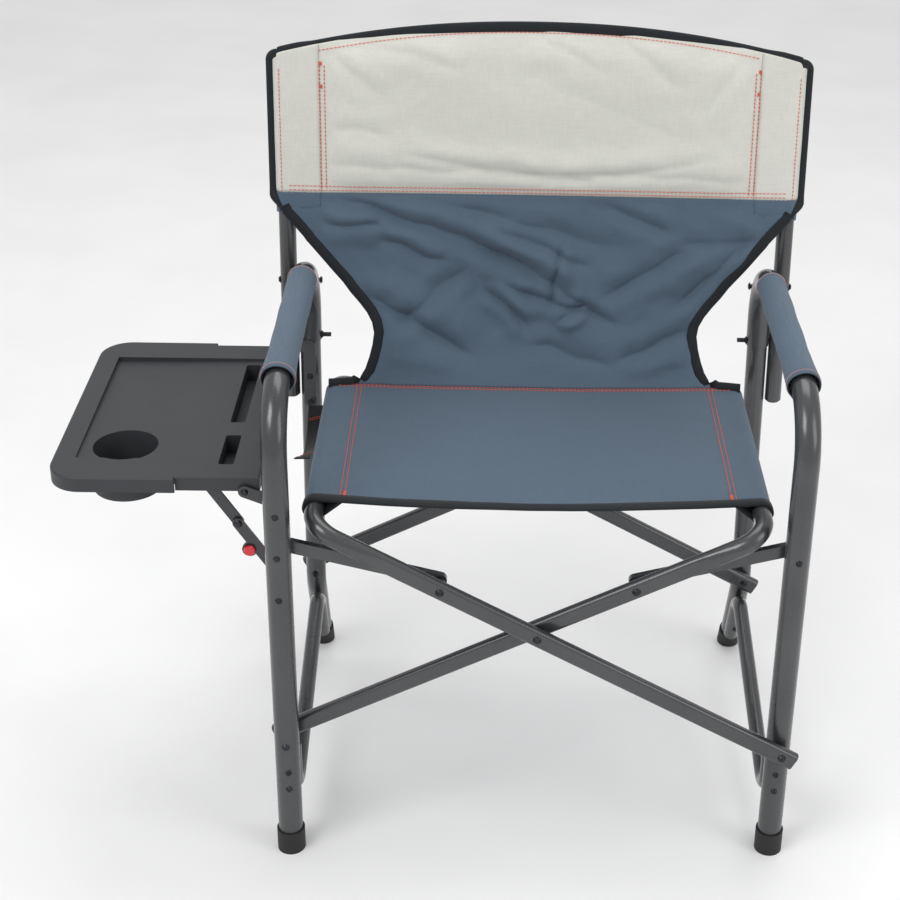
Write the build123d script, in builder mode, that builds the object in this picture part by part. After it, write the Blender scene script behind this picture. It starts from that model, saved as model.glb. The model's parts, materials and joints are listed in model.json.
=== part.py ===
"""Folding director chair with a side table.

Frame: X across the chair (the table is at -X), Y towards the back, Z up. The origin is on the
floor, midway between the two front legs. All sizes are in millimetres.
"""

from build123d import *
from math import atan2, cos, degrees, hypot, radians, sin, tan
import os

# ---------------------------------------------------------------- driving dimensions
LEG_X = 300.0              # side frame plane, from the middle of the chair
TUBE_R, TUBE_IN = 15.0, 13.8
REAR_R, REAR_IN = 13.5, 12.3
POST_R, POST_IN = 11.0, 9.8
FOOT_RAIL_R, FOOT_RAIL_IN = 10.0, 8.8

ARM_Z = 625.0              # armrest tube axis
ARM_BACK_Y = 424.0         # rear corner of the armrest tube
FRONT_BEND, BACK_BEND, KNEE_BEND = 75.0, 70.0, 60.0
KNEE_Y, KNEE_Z = 378.0, 150.0
REAR_FOOT_Y = 449.0
JOINT_Z = 508.0            # seam where the rear leg enters the armrest tube
CAP_INSET = 12.0           # rubber under the end of each leg tube
CAP_HEIGHT = 31.0

PIVOT_Z = 164.5            # lower pivots of the crossed seat frames
FOLD_DEG = 28.0            # slope of the crossed tubes, open
RAIL_X = 262.0
RAIL_R = 11.0
FLAT_T, FLAT_H, FLAT_CORNER = 13.0, 22.0, 5.0
WALL = 1.2
RAIL_BEND = 32.0
CROSS_GAP = 17.5           # between the two crossed tubes' middle planes
PIVOT_OUT = 24.5           # the crossed tubes' stand-off from the leg axis at the pivots
BACK_SHIFT = 381.75        # front crossed tubes to rear crossed tubes

LINK_Z, LINK_REACH = 433.0, 130.0
LINK_Y, LINK_T, LINK_W = 16.2, 8.0, 16.0

POST_GAP = 0.3
POST_LOW, POST_TOP = 430.0, 884.0
POST_BOLT_ZS = (514.0, 590.0)

FOOT_RAIL_X = LEG_X - 4.0
SCREW_X = LEG_X - 2.0
SCREW_ZS = (101.0, 126.0)
RIVET_DOWN = 75.0          # foot rail's rear rivet, from the knee along the foot

BOLT_R, BOLT_HOLE = 3.0, 3.05
HEAD_R, HEAD_H, SMALL_HEAD_R = 5.0, 2.5, 4.2
LIFT = 0.05                # between a bolt head and the face it bears on

COVER_FRONT, COVER_BACK, COVER_DROP = 48.0, 345.0, 31.0

TABLE_TOP, TABLE_BODY, TABLE_SKIN = 520.0, 18.0, 3.0
TABLE_IN_X, TABLE_OUT_X = -320.0, -562.0
TABLE_FRONT_Y, TABLE_BACK_Y = 14.0, 370.0
TRAY_CORNER, NOTCH_X, NOTCH = 38.0, -416.0, 6.0
CUP_X, CUP_Y, CUP_R, CUP_FLOOR_R, CUP_DEEP = -485.0, 96.0, 38.0, 33.0, 52.0
SLOT_X, SLOT_W = -362.0, 18.0
SLOTS = ((50.0, 121.0), (154.0, 312.0))
HINGE_X, HINGE_Z = -337.0, 503.0
LUG_YS = (22.0, 358.0)
LUG_T, LUG_R = 6.0, 9.0
TABLE_RIVET_Z = 488.0
PLATE_RIVET_ZS = (425.0, 462.0)

BRACE_Z = 376.0
BRACE_LOWER, BRACE_UPPER, BRACE_DEG = 90.0, 54.0, 57.0
BRACE_W, BRACE_T = 13.0, 3.5
LOWER_Y, UPPER_Y = 31.6, 35.5
BUTTON_UP, BUTTON_OFF, BUTTON_R = 54.0, 9.0, 7.0   # along the lower bar, beside it, radius
BUTTON_BASE, BUTTON_HEAD, BUTTON_STEM = 29.4, 2.2, 3.9   # behind the head, height, stem

SEAT_FRONT, SEAT_BACK = 50.0, 343.0
STITCH_X, SHEET_T, SLEEVE_T = 230.0, 1.8, 1.8
SOFT_GAP = 0.5             # between the cloth and the tubes inside it
BACK_PANEL_X, SEAM_Z, ARCH_RISE = 339.0, 700.0, 49.0
SLEEVE_LOW, PADDING_T, DRAPE_T = 692.0, 7.0, 3.0
PANEL_LOW_X = 285.0        # half width where the padded panel meets the lower cloth
LOWER_OUTLINE = ((228.0, 0.0), (209.0, 0.3), (238.0, 0.52))   # half width, share of the drop
STRAP_X, STRAP_W, STRAP_T = -302.0, 22.0, 1.6
STRAP_POINTS = ((372.0, 428.0), (330.0, 408.0), (270.0, 414.0), (215.0, 440.0), (190.0, 450.0))

# ---------------------------------------------------------------- derived values
SLOPE = tan(radians(FOLD_DEG))
CROSS_Z = PIVOT_Z + LEG_X * SLOPE
RAIL_Z = CROSS_Z + RAIL_X * SLOPE
SLANT = (PIVOT_OUT - CROSS_GAP / 2) / LEG_X
LINK_X = LINK_REACH * cos(radians(FOLD_DEG))
LINK_END_Z = CROSS_Z + LINK_REACH * sin(radians(FOLD_DEG))
REAR_TILT = (ARM_BACK_Y - KNEE_Y) / (ARM_Z - KNEE_Z)
POST_X = LEG_X + TUBE_R + POST_GAP + POST_R
POST_AXIS = Vector(0, REAR_TILT, 1).normalized()
POST_LENGTH = (POST_TOP - POST_LOW) / POST_AXIS.Z
KICK = Vector(0, REAR_FOOT_Y - KNEE_Y, -KNEE_Z).normalized()
KICK_BACK = Vector(0, -KICK.Z, KICK.Y)
LIMB_OFFSET = REAR_R + FOOT_RAIL_R + 0.4
RAIL_FRONT_Y = TUBE_R + FOOT_RAIL_R + 0.3
BRACE_COS, BRACE_SIN = cos(radians(BRACE_DEG)), sin(radians(BRACE_DEG))
ELBOW = (-LEG_X - BRACE_LOWER * BRACE_COS, BRACE_Z + BRACE_LOWER * BRACE_SIN)
BRACE_TOP = (ELBOW[0] - BRACE_UPPER * BRACE_COS, ELBOW[1] + BRACE_UPPER * BRACE_SIN)

BACKWARD, FORWARD, ACROSS = Vector(0, 1, 0), Vector(0, -1, 0), Vector(1, 0, 0)
BASE = (Align.CENTER, Align.CENTER, Align.MIN)

os.makedirs("parts", exist_ok=True)


def save(builder, label):
    """Name the finished piece and write it."""
    builder.part.label = label
    export_step(builder.part, f"parts/{label}.step")


def rear_y(z):
    """Y of the rear leg's axis above the knee."""
    return KNEE_Y + (z - KNEE_Z) * REAR_TILT


def facing(point, direction):
    """A plane at a point, with its normal along a direction."""
    return Plane(origin=point, z_dir=direction)


def front_plane(y):
    """The upright plane at y that is seen from the front: local x is X and local y is Z."""
    return Plane(origin=(0, y, 0), x_dir=(1, 0, 0), z_dir=(0, -1, 0))


def hollow_tube(points, bends, outer, inner):
    """Sweep a round hollow tube along straight runs joined by arcs, into the open part."""
    with BuildLine() as route:
        FilletPolyline(*points, radius=bends)
    for radius, mode in ((outer, Mode.ADD), (inner, Mode.SUBTRACT)):
        with BuildSketch(facing(route.line @ 0, route.line % 0)) as ring:
            Circle(radius)
        sweep(sections=ring.sketch, path=route.line, mode=mode)


def rod(start, direction, radius, length, mode=Mode.ADD):
    """A round bar from a point along a direction."""
    with Locations(facing(start, direction).location):
        Cylinder(radius, length, align=BASE, mode=mode)


def drill(points, direction=BACKWARD, radius=BOLT_HOLE, length=60.0):
    """Cross holes, centred on the points."""
    for point in points:
        start = Vector(*point) - direction * (length / 2)
        rod(start, direction, radius, length, Mode.SUBTRACT)


def bolt(start, end, head=HEAD_R, nut=HEAD_R):
    """A domed bolt from under its head at start to its nut's face at end."""
    start, end = Vector(*start), Vector(*end)
    axis = (end - start).normalized()
    rod(start, axis, BOLT_R, (end - start).length)
    for point, direction, radius in ((start, -axis, head), (end, axis, nut)):
        with Locations(facing(point, direction).location):
            Cone(radius, radius * 0.6, HEAD_H, align=BASE)


def flat_bar(low, high, width, y_front, thickness):
    """A flat bar with round ends between two (x, z) points, standing across Y."""
    length = hypot(high[0] - low[0], high[1] - low[1])
    turn = degrees(atan2(high[1] - low[1], high[0] - low[0]))
    with BuildSketch(front_plane(y_front)) as bar:
        with Locations(((low[0] + high[0]) / 2, (low[1] + high[1]) / 2)):
            SlotCenterToCenter(length, width, rotation=turn)
    extrude(bar.sketch, amount=-thickness)


# ---------------------------------------------------------------- side frames
for name, side in (("left", -1), ("right", 1)):
    x = side * LEG_X
    post_x = side * POST_X
    knee = Vector(x, KNEE_Y, KNEE_Z)
    foot_rivet = Vector(side * SCREW_X, KNEE_Y, KNEE_Z) + KICK * RIVET_DOWN
    foot_screws_at = [(side * SCREW_X, 0, z) for z in SCREW_ZS]

    with BuildPart() as side_tube:
        hollow_tube(
            [
                (x, 0, CAP_INSET + 0.2),
                (x, 0, ARM_Z),
                (x, ARM_BACK_Y, ARM_Z),
                (x, rear_y(JOINT_Z), JOINT_Z),
            ],
            [FRONT_BEND, BACK_BEND],
            TUBE_R,
            TUBE_IN,
        )
        drill(foot_screws_at)
        drill([(x, 0, PIVOT_Z), (x, 0, LINK_Z)])
        drill([(x, rear_y(z), z) for z in POST_BOLT_ZS], ACROSS)
        if side < 0:
            drill([(x, 0, BRACE_Z), (x, 0, TABLE_RIVET_Z)])
    save(side_tube, f"{name}_side_tube")

    with BuildPart() as rear_leg:
        foot_end = knee + KICK * ((KNEE_Z - CAP_INSET - 6) / -KICK.Z)
        hollow_tube(
            [(x, rear_y(JOINT_Z + 40), JOINT_Z + 40), knee, foot_end],
            KNEE_BEND,
            REAR_R,
            REAR_IN,
        )
        drill([(x, rear_y(PIVOT_Z), PIVOT_Z)])
        drill([(x, rear_y(POST_BOLT_ZS[0]), POST_BOLT_ZS[0])], ACROSS)
        drill([foot_rivet], KICK_BACK)
        if side < 0:
            drill([(x, rear_y(z), z) for z in PLATE_RIVET_ZS])
    save(rear_leg, f"{name}_rear_leg")

    with BuildPart() as back_post:
        with BuildSketch(facing((post_x, rear_y(POST_LOW), POST_LOW), POST_AXIS)):
            Circle(POST_R)
            Circle(POST_IN, mode=Mode.SUBTRACT)
        extrude(amount=POST_LENGTH)
        drill([(post_x, rear_y(z), z) for z in POST_BOLT_ZS], ACROSS, length=30)
    save(back_post, f"{name}_back_post")

    with BuildPart() as post_plugs:
        for z, direction in ((POST_LOW, -POST_AXIS), (POST_TOP, POST_AXIS)):
            mouth = Vector(post_x, rear_y(z), z) + direction * 0.1
            with Locations(facing(mouth, direction).location):
                Cone(POST_R, POST_R - 3, 3, align=BASE)
            rod(mouth, -direction, POST_IN - 0.1, 8)
    save(post_plugs, f"{name}_back_post_plugs")

    with BuildPart() as post_bolts:
        for z in POST_BOLT_ZS:
            outer = post_x + side * (POST_R + LIFT)
            inner = x - side * (TUBE_R + LIFT)
            bolt((outer, rear_y(z), z), (inner, rear_y(z), z), nut=5.5)
        lower_z = POST_BOLT_ZS[0]
        rod((inner - side * HEAD_H, rear_y(lower_z), lower_z), -side * ACROSS, BOLT_R, 10)
    save(post_bolts, f"{name}_back_post_bolts")

    with BuildPart() as foot_rail:
        rail_x = side * FOOT_RAIL_X
        limb = Vector(rail_x, KNEE_Y, KNEE_Z) - KICK_BACK * LIMB_OFFSET
        hollow_tube(
            [
                (rail_x, RAIL_FRONT_Y, 140),
                (rail_x, RAIL_FRONT_Y, 60),
                limb,
                limb + KICK * 104,
            ],
            [30, 32],
            FOOT_RAIL_R,
            FOOT_RAIL_IN,
        )
        drill([(side * SCREW_X, RAIL_FRONT_Y, z) for z in SCREW_ZS], length=30)
        drill([foot_rivet], KICK_BACK, length=90)
    save(foot_rail, f"{name}_foot_rail")

    with BuildPart() as foot_screws:
        for z in SCREW_ZS:
            start = (side * SCREW_X, -TUBE_R - LIFT, z)
            end = (side * SCREW_X, RAIL_FRONT_Y + FOOT_RAIL_R + LIFT, z)
            bolt(start, end, SMALL_HEAD_R, SMALL_HEAD_R)
        start = foot_rivet - KICK_BACK * (LIMB_OFFSET + FOOT_RAIL_R + LIFT)
        end = foot_rivet + KICK_BACK * (REAR_R + LIFT)
        bolt(start, end, SMALL_HEAD_R, SMALL_HEAD_R)
    save(foot_screws, f"{name}_foot_rail_screws")

    with BuildPart() as foot_caps:
        feet = (
            (Vector(x, 0, 0), Vector(0, 0, 1), TUBE_R, CAP_INSET),
            (Vector(x, REAR_FOOT_Y, 0), -KICK, REAR_R, CAP_INSET + 5.5),
        )
        for foot, axis, tube_r, inset in feet:
            rod(foot - axis * 12, axis, tube_r + 2.2, 12 + CAP_HEIGHT / axis.Z)
        for foot, axis, tube_r, inset in feet:
            rod(foot + axis * inset, axis, tube_r + 0.15, 60, Mode.SUBTRACT)
        split(bisect_by=Plane.XY, keep=Keep.TOP)
    save(foot_caps, f"{name}_foot_caps")

    with BuildPart() as arm_cover:
        bend_route = [(x, 0, 400), (x, 0, ARM_Z), (x, ARM_BACK_Y, ARM_Z)]
        for radius, tip, drop, mode in (
            (17.0, 2.4, COVER_DROP, Mode.ADD),
            (15.4, 0.8, COVER_DROP - 1.6, Mode.SUBTRACT),
        ):
            with BuildSketch(front_plane(COVER_FRONT)):
                with Locations((x, ARM_Z)):
                    Circle(radius)
                with Locations((x, ARM_Z - drop + tip)):
                    Circle(tip)
                make_hull()
            extrude(amount=COVER_FRONT - COVER_BACK, mode=mode)
        with BuildLine() as route:
            FilletPolyline(*bend_route, radius=FRONT_BEND)
        with BuildSketch(facing(route.line @ 0, route.line % 0)) as bore:
            Circle(TUBE_R + 0.4)
        sweep(sections=bore.sketch, path=route.line, mode=Mode.SUBTRACT)
    save(arm_cover, f"{name}_arm_cover")

    # The crossed tubes turn here, behind the left legs and in front of the right ones.
    with BuildPart() as pivots:
        stand_off = PIVOT_OUT + FLAT_T / 2 + 0.6
        front_y, back_y = sorted((-side * stand_off, side * (TUBE_R + LIFT)))
        bolt((x, front_y, PIVOT_Z), (x, back_y, PIVOT_Z))
        tube_face = BACK_SHIFT - side * stand_off
        leg_face = rear_y(PIVOT_Z) + 0.5 + side * (REAR_R + 0.5)
        front_y, back_y = sorted((tube_face, leg_face))
        bolt((x, front_y, PIVOT_Z), (x, back_y, PIVOT_Z))
    save(pivots, f"{name}_lower_pivot_bolts")

    with BuildPart() as link:
        flat_bar((x, LINK_Z), (side * LINK_X, LINK_END_Z), LINK_W, LINK_Y, LINK_T)
        drill([(x, LINK_Y, LINK_Z)])
    save(link, f"{name}_link")

    with BuildPart() as link_bolt:
        bolt((x, -TUBE_R - LIFT, LINK_Z), (x, LINK_Y + LINK_T + LIFT, LINK_Z), SMALL_HEAD_R)
    save(link_bolt, f"{name}_link_bolt")


# ---------------------------------------------------------------- crossed seat frames
def seat_point(turn, x, y, z):
    """A point of a seat frame: turn 1 has the left rail, turn -1 is the same part turned round."""
    middle = BACK_SHIFT / 2
    return Vector(turn * x, middle + turn * (y - middle), z)


def crossed_y(x):
    """Y of the left seat frame's front crossed tube."""
    return -CROSS_GAP / 2 - SLANT * x


def seat_frame_body(turn, inset, mode):
    """One seat frame's outer shape, or its hollow when inset, added to or cut from the part."""
    flat_section = (FLAT_T - 2 * inset, FLAT_H - 2 * inset, FLAT_CORNER - inset)
    rising = (seat_point(turn, -1, SLANT, SLOPE) - seat_point(turn, 0, 0, 0)).normalized()
    thin = BACKWARD - rising * rising.dot(BACKWARD)
    corners, starts = [], []
    for shift in (0, BACK_SHIFT):
        corners.append(seat_point(turn, -RAIL_X, crossed_y(-RAIL_X) + shift, RAIL_Z))
        pivot = seat_point(turn, LEG_X, crossed_y(LEG_X) + shift, PIVOT_Z)
        starts.append(pivot - rising * (18 + 2 * inset))
    round_from, flat_to = RAIL_BEND + 8, RAIL_BEND + 60

    with BuildLine() as route:
        FilletPolyline(
            corners[0] - rising * round_from,
            corners[0],
            corners[1],
            corners[1] - rising * round_from,
            radius=RAIL_BEND,
        )
    with BuildSketch(facing(route.line @ 0, route.line % 0)) as section:
        Circle(RAIL_R - inset)
    sweep(sections=section.sketch, path=route.line, mode=mode)

    for start, corner in zip(starts, corners):
        with BuildSketch(Plane(origin=start, x_dir=thin, z_dir=rising)) as end_face:
            RectangleRounded(*flat_section)
        extrude(end_face.sketch, amount=(corner - start).length - flat_to, mode=mode)
        flat_end = Plane(origin=corner - rising * flat_to, x_dir=thin, z_dir=rising)
        round_end = Plane(origin=corner - rising * round_from, x_dir=thin, z_dir=rising)
        with BuildSketch(flat_end) as flat:
            RectangleRounded(*flat_section)
        with BuildSketch(round_end) as ring:
            Circle(RAIL_R - inset)
        loft([flat.sketch, ring.sketch], mode=mode)


for name, turn in (("left", 1), ("right", -1)):
    rising = (seat_point(turn, -1, SLANT, SLOPE) - seat_point(turn, 0, 0, 0)).normalized()
    thin = BACKWARD - rising * rising.dot(BACKWARD)
    ends = [
        seat_point(turn, LEG_X, crossed_y(LEG_X) + shift, PIVOT_Z) for shift in (0, BACK_SHIFT)
    ]
    stud_x = -turn * LINK_X
    front_shift = 0 if turn > 0 else BACK_SHIFT
    stud_y = seat_point(turn, -LINK_X, crossed_y(-LINK_X) + front_shift, 0).Y

    with BuildPart() as seat_frame:
        seat_frame_body(turn, 0, Mode.ADD)
        seat_frame_body(turn, WALL, Mode.SUBTRACT)
        drill(ends)
        drill([(0, shift, CROSS_Z) for shift in (0, BACK_SHIFT)])
        drill([(stud_x, 0, LINK_END_Z)])
    save(seat_frame, f"{name}_seat_frame")

    with BuildPart() as end_plugs:
        for end in ends:
            with BuildSketch(Plane(origin=end - rising * 17.5, x_dir=thin, z_dir=rising)):
                RectangleRounded(
                    FLAT_T - 2 * WALL - 0.2, FLAT_H - 2 * WALL - 0.2, FLAT_CORNER - WALL - 0.1
                )
            extrude(amount=8)
    save(end_plugs, f"{name}_seat_frame_end_plugs")

    with BuildPart() as link_stud:
        front_face, back_face = stud_y - FLAT_T / 2 - 0.35, stud_y + FLAT_T / 2 + 0.45
        bolt((stud_x, front_face, LINK_END_Z), (stud_x, back_face, LINK_END_Z), nut=SMALL_HEAD_R)
        rod((stud_x, back_face, LINK_END_Z), BACKWARD, 6.5, LINK_Y - 0.3 - back_face)
    save(link_stud, f"{name}_link_stud")

with BuildPart() as cross_bolts:
    reach = CROSS_GAP / 2 + FLAT_T / 2 + 0.4
    for shift in (0, BACK_SHIFT):
        bolt((0, shift - reach, CROSS_Z), (0, shift + reach, CROSS_Z))
        rod((0, shift - 1.7, CROSS_Z), BACKWARD, 8, 3.4)
save(cross_bolts, "cross_bolts")


# ---------------------------------------------------------------- side table
tray_x, tray_y = (TABLE_IN_X + TABLE_OUT_X) / 2, (TABLE_FRONT_Y + TABLE_BACK_Y) / 2
tray_w, tray_d = TABLE_IN_X - TABLE_OUT_X, TABLE_BACK_Y - TABLE_FRONT_Y


def tray_outline(inset):
    """The table's outline in plan, with its hinge side a step narrower."""
    with Locations((tray_x, tray_y)):
        Rectangle(tray_w - 2 * inset, tray_d - 2 * inset)
    step_w = TABLE_IN_X - NOTCH_X
    for step_y in (TABLE_FRONT_Y, TABLE_BACK_Y):
        with Locations((TABLE_IN_X - step_w / 2, step_y)):
            Rectangle(step_w, 2 * (NOTCH + inset), mode=Mode.SUBTRACT)


with BuildPart() as tray:
    with BuildSketch(Plane.XY.offset(TABLE_TOP - TABLE_BODY)) as outline:
        tray_outline(0)
        fillet(outline.vertices().group_by(Axis.X)[0], TRAY_CORNER)
    extrude(amount=TABLE_BODY)
    fillet(tray.faces().sort_by(Axis.Z)[-1].outer_wire().edges(), 2.5)
    with BuildSketch(Plane.XY.offset(TABLE_TOP - TABLE_BODY)) as hollow:
        tray_outline(TABLE_SKIN)
        fillet(hollow.vertices().group_by(Axis.X)[0], TRAY_CORNER - TABLE_SKIN)
    extrude(amount=TABLE_BODY - TABLE_SKIN - 6, mode=Mode.SUBTRACT)
    # The sunken floor is deepest at the outer back corner and runs out at the inner front one.
    floor_plane = Plane(
        origin=(TABLE_IN_X - 24, 62, TABLE_TOP), x_dir=(1, 0, 0.014), z_dir=(-0.014, 0.012, 1)
    )
    with BuildSketch(floor_plane):
        Rectangle(192, 262, align=(Align.MAX, Align.MIN))
    extrude(amount=12, mode=Mode.SUBTRACT)
    # Cup well and the two long slots, each a socket with its own floor.
    rod((CUP_X, CUP_Y, TABLE_TOP - CUP_DEEP - 3), Vector(0, 0, 1), CUP_R + 2.5, CUP_DEEP)
    with Locations((CUP_X, CUP_Y, TABLE_TOP - CUP_DEEP)):
        Cone(CUP_FLOOR_R, CUP_R, CUP_DEEP + 1, align=BASE, mode=Mode.SUBTRACT)
    for low, high in SLOTS:
        with BuildSketch(Plane.XY.offset(TABLE_TOP - 28)):
            with Locations((SLOT_X, (low + high) / 2)):
                RectangleRounded(SLOT_W + 5, high - low + 5, 5)
        extrude(amount=25)
        with BuildSketch(Plane.XY.offset(TABLE_TOP - 25)):
            with Locations((SLOT_X, (low + high) / 2)):
                RectangleRounded(SLOT_W, high - low, 3)
        extrude(amount=30, mode=Mode.SUBTRACT)
    # Lugs that carry the hinge bolts and the brace.
    for lug_y in LUG_YS:
        with BuildSketch(front_plane(lug_y)):
            with Locations((HINGE_X, HINGE_Z)):
                Circle(LUG_R)
            with Locations((HINGE_X, HINGE_Z + 6)):
                Rectangle(2 * LUG_R, 10)
        extrude(amount=-LUG_T)
        drill([(HINGE_X, lug_y, HINGE_Z)], length=20)
    with BuildSketch(front_plane(UPPER_Y + BRACE_T + 0.4)):
        with Locations(BRACE_TOP):
            Circle(8)
        with Locations((BRACE_TOP[0], BRACE_TOP[1] + 8)):
            Rectangle(16, 12)
    extrude(amount=-4)
    drill([(BRACE_TOP[0], UPPER_Y + BRACE_T + 2, BRACE_TOP[1])], length=8)
save(tray, "table_tray")

with BuildPart() as front_bracket:
    bracket_y = TUBE_R + 1.0
    flat_bar((HINGE_X, HINGE_Z), (-LEG_X, TABLE_RIVET_Z), 15, bracket_y, 3)
    drill([(HINGE_X, bracket_y, HINGE_Z), (-LEG_X, bracket_y, TABLE_RIVET_Z)], length=10)
save(front_bracket, "table_front_bracket")

with BuildPart() as rear_bracket:
    plate_base = Vector(-LEG_X, rear_y(PLATE_RIVET_ZS[0]), PLATE_RIVET_ZS[0])
    plate_out = Vector(0, -POST_AXIS.Z, POST_AXIS.Y)
    plate_plane = Plane(
        origin=plate_base + plate_out * (REAR_R + 2.0), x_dir=(1, 0, 0), z_dir=plate_out
    )
    plate_rise = (HINGE_Z - PLATE_RIVET_ZS[0]) / POST_AXIS.Z
    with BuildSketch(plate_plane):
        with Locations((0, plate_rise / 2)):
            SlotCenterToCenter(plate_rise, 16, rotation=90)
        with Locations(((HINGE_X + LEG_X) / 2, plate_rise)):
            SlotCenterToCenter(-LEG_X - HINGE_X, 16)
    extrude(amount=3)
    drill([(-LEG_X, rear_y(z) - 16, z) for z in PLATE_RIVET_ZS], length=30)
    drill([(HINGE_X, rear_y(HINGE_Z) - 16, HINGE_Z)], length=30, radius=3.4)
save(rear_bracket, "table_rear_bracket")

with BuildPart() as bracket_rivets:
    bolt(
        (-LEG_X, -TUBE_R - LIFT, TABLE_RIVET_Z),
        (-LEG_X, bracket_y + 3 + LIFT, TABLE_RIVET_Z),
        SMALL_HEAD_R,
        SMALL_HEAD_R,
    )
    for z in PLATE_RIVET_ZS:
        front_y = rear_y(z) - REAR_R - 5.6
        bolt((-LEG_X, front_y, z), (-LEG_X, rear_y(z) + REAR_R + 0.6, z), SMALL_HEAD_R)
save(bracket_rivets, "table_bracket_rivets")

with BuildPart() as hinge_bolts:
    bolt(
        (HINGE_X, bracket_y - LIFT, HINGE_Z),
        (HINGE_X, LUG_YS[0] + LUG_T + 0.3, HINGE_Z),
        SMALL_HEAD_R,
        SMALL_HEAD_R,
    )
    plate_y = rear_y(HINGE_Z) - REAR_R - 2.0
    bolt(
        (HINGE_X, LUG_YS[1] - 0.3, HINGE_Z),
        (HINGE_X, plate_y + 1.2, HINGE_Z),
        SMALL_HEAD_R,
        SMALL_HEAD_R,
    )
save(hinge_bolts, "table_hinge_bolts")

with BuildPart() as brace_upper:
    flat_bar(BRACE_TOP, ELBOW, BRACE_W, UPPER_Y, BRACE_T)
    drill([(BRACE_TOP[0], UPPER_Y, BRACE_TOP[1])], length=20)
save(brace_upper, "table_brace_upper")

with BuildPart() as brace_lower:
    flat_bar(ELBOW, (-LEG_X, BRACE_Z), BRACE_W, LOWER_Y, BRACE_T)
    drill([(-LEG_X, LOWER_Y, BRACE_Z)], length=20)
    button_x = -LEG_X - BUTTON_UP * BRACE_COS - BUTTON_OFF * BRACE_SIN
    button_z = BRACE_Z + BUTTON_UP * BRACE_SIN - BUTTON_OFF * BRACE_COS
    with BuildSketch(front_plane(LOWER_Y)):
        with Locations((button_x, button_z)):
            Circle(BUTTON_R + 2)
    extrude(amount=-BRACE_T)
    drill([(button_x, LOWER_Y, button_z)], radius=4.1, length=20)
save(brace_lower, "table_brace_lower")

with BuildPart() as brace_bolts:
    brace_back_y = LOWER_Y + BRACE_T + LIFT
    bolt((-LEG_X, -TUBE_R - LIFT, BRACE_Z), (-LEG_X, brace_back_y, BRACE_Z), SMALL_HEAD_R)
    rod((-LEG_X, TUBE_R + 0.1, BRACE_Z), BACKWARD, 5.5, LOWER_Y - TUBE_R - 0.3)
save(brace_bolts, "table_brace_leg_bolt")

with BuildPart() as brace_top_bolt:
    top_y = UPPER_Y + BRACE_T + 4.4
    bolt(
        (BRACE_TOP[0], UPPER_Y - LIFT, BRACE_TOP[1]),
        (BRACE_TOP[0], top_y + LIFT, BRACE_TOP[1]),
        SMALL_HEAD_R,
        SMALL_HEAD_R,
    )
save(brace_top_bolt, "table_brace_top_bolt")

with BuildPart() as elbow_rivet:
    with Locations(facing((ELBOW[0], LOWER_Y - LIFT, ELBOW[1]), FORWARD).location):
        Cone(SMALL_HEAD_R + 0.8, SMALL_HEAD_R - 1, 2, align=BASE)
save(elbow_rivet, "table_brace_elbow_rivet")

with BuildPart() as brace_button:
    with Locations(facing((button_x, BUTTON_BASE, button_z), FORWARD).location):
        Cone(BUTTON_R, BUTTON_R - 1, BUTTON_HEAD, align=BASE)
    rod((button_x, BUTTON_BASE, button_z), BACKWARD, 4.0, BUTTON_STEM)
save(brace_button, "table_brace_button")


# ---------------------------------------------------------------- fabric
with BuildPart() as seat_fabric:
    sheet_low = RAIL_Z + RAIL_R + SOFT_GAP
    with BuildSketch(front_plane(SEAT_FRONT)):
        with Locations((0, sheet_low + SHEET_T / 2)):
            Rectangle(2 * RAIL_X, SHEET_T)
    extrude(amount=SEAT_FRONT - SEAT_BACK)
    # The sleeve round each rail, drawn as the hull of the rail and of the stitch line.
    outside = (RAIL_R + SOFT_GAP + SLEEVE_T, STITCH_X, sheet_low - 0.6, 2.4, Mode.ADD)
    inside = (RAIL_R + SOFT_GAP, STITCH_X + 6, sheet_low - 0.8, 0.6, Mode.SUBTRACT)
    for side in (-1, 1):
        for radius, tip_x, tip_z, tip_r, mode in (outside, inside):
            with BuildSketch(front_plane(SEAT_FRONT)):
                with Locations((side * RAIL_X, RAIL_Z)):
                    Circle(radius)
                with Locations((side * tip_x, tip_z)):
                    Circle(tip_r)
                make_hull()
            extrude(amount=SEAT_FRONT - SEAT_BACK, mode=mode)
save(seat_fabric, "seat_fabric")

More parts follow.
